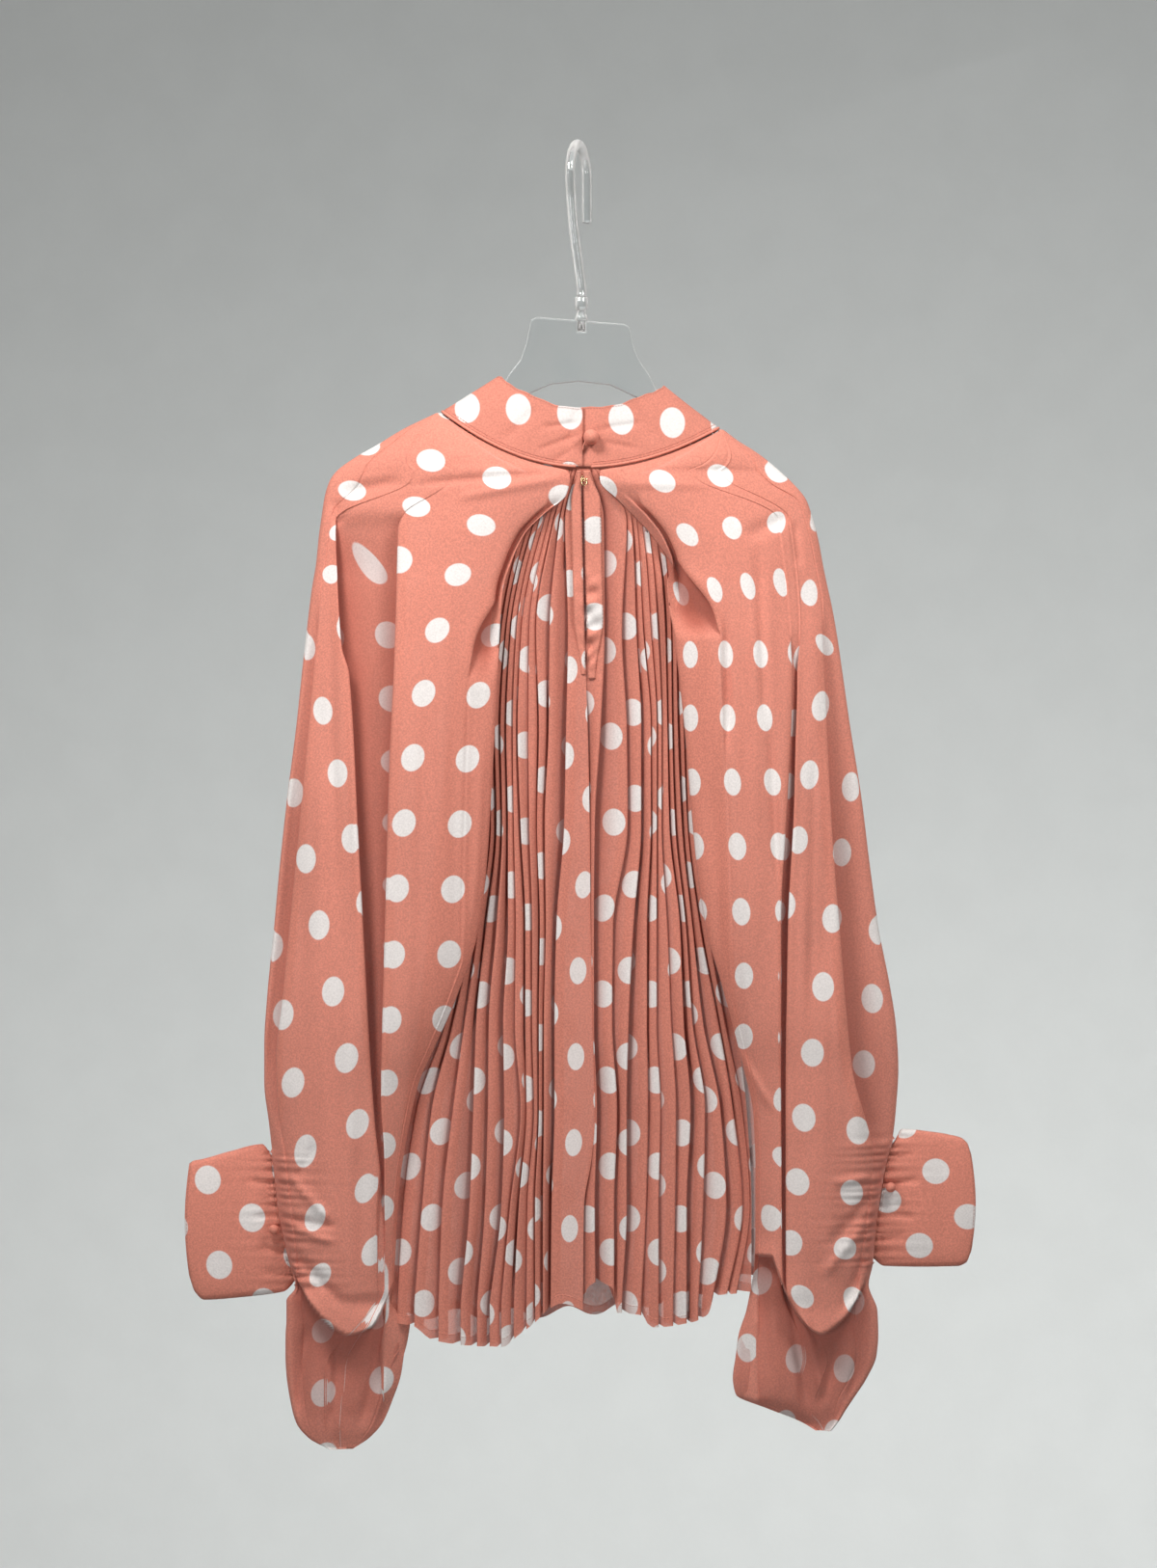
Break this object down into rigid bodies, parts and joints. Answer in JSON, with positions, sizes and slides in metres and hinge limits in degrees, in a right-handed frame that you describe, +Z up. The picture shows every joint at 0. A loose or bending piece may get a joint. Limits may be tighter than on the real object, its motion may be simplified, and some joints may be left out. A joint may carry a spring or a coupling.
{
  "type": "blouse on hanger",
  "caption": "Polka dot crepe blouse with full raglan sleeves, wide cuffs and a pleated back, hanging open and hollow on a clear hanger.",
  "frame": {"origin": "top of the hook's inside, where it bears on a rail", "axes": "+Z up, +Y from the closure side towards the far side, +X to the right as seen from the closure side"},
  "size_m": [0.5737, 0.0704, 0.9505],
  "materials": {
    "dotted_crepe": "thin semi-sheer crepe, coral with off-white round dots, soft sheen",
    "covered_button": "coral cloth drawn over a small ball, plain",
    "small_metal": "small bent wire, lightly polished",
    "clear_acrylic": "clear polished acrylic"
  },
  "bodies": {
    "root": {"sleeve_left": "dotted_crepe", "sleeve_right": "dotted_crepe", "cuff_left": "dotted_crepe", "cuff_right": "dotted_crepe", "back_panel_left": "dotted_crepe", "back_panel_right": "dotted_crepe", "placket_left": "dotted_crepe", "placket_right": "dotted_crepe", "front_panel": "dotted_crepe", "collar_stand": "dotted_crepe", "neck_button": "covered_button", "neck_loop": "covered_button", "neck_hook": "small_metal", "cuff_button_left": "covered_button", "cuff_button_right": "covered_button", "hanger_hook": "clear_acrylic", "hanger_ferrule": "clear_acrylic", "hanger_plate": "clear_acrylic"}
  },
  "joints": []
}
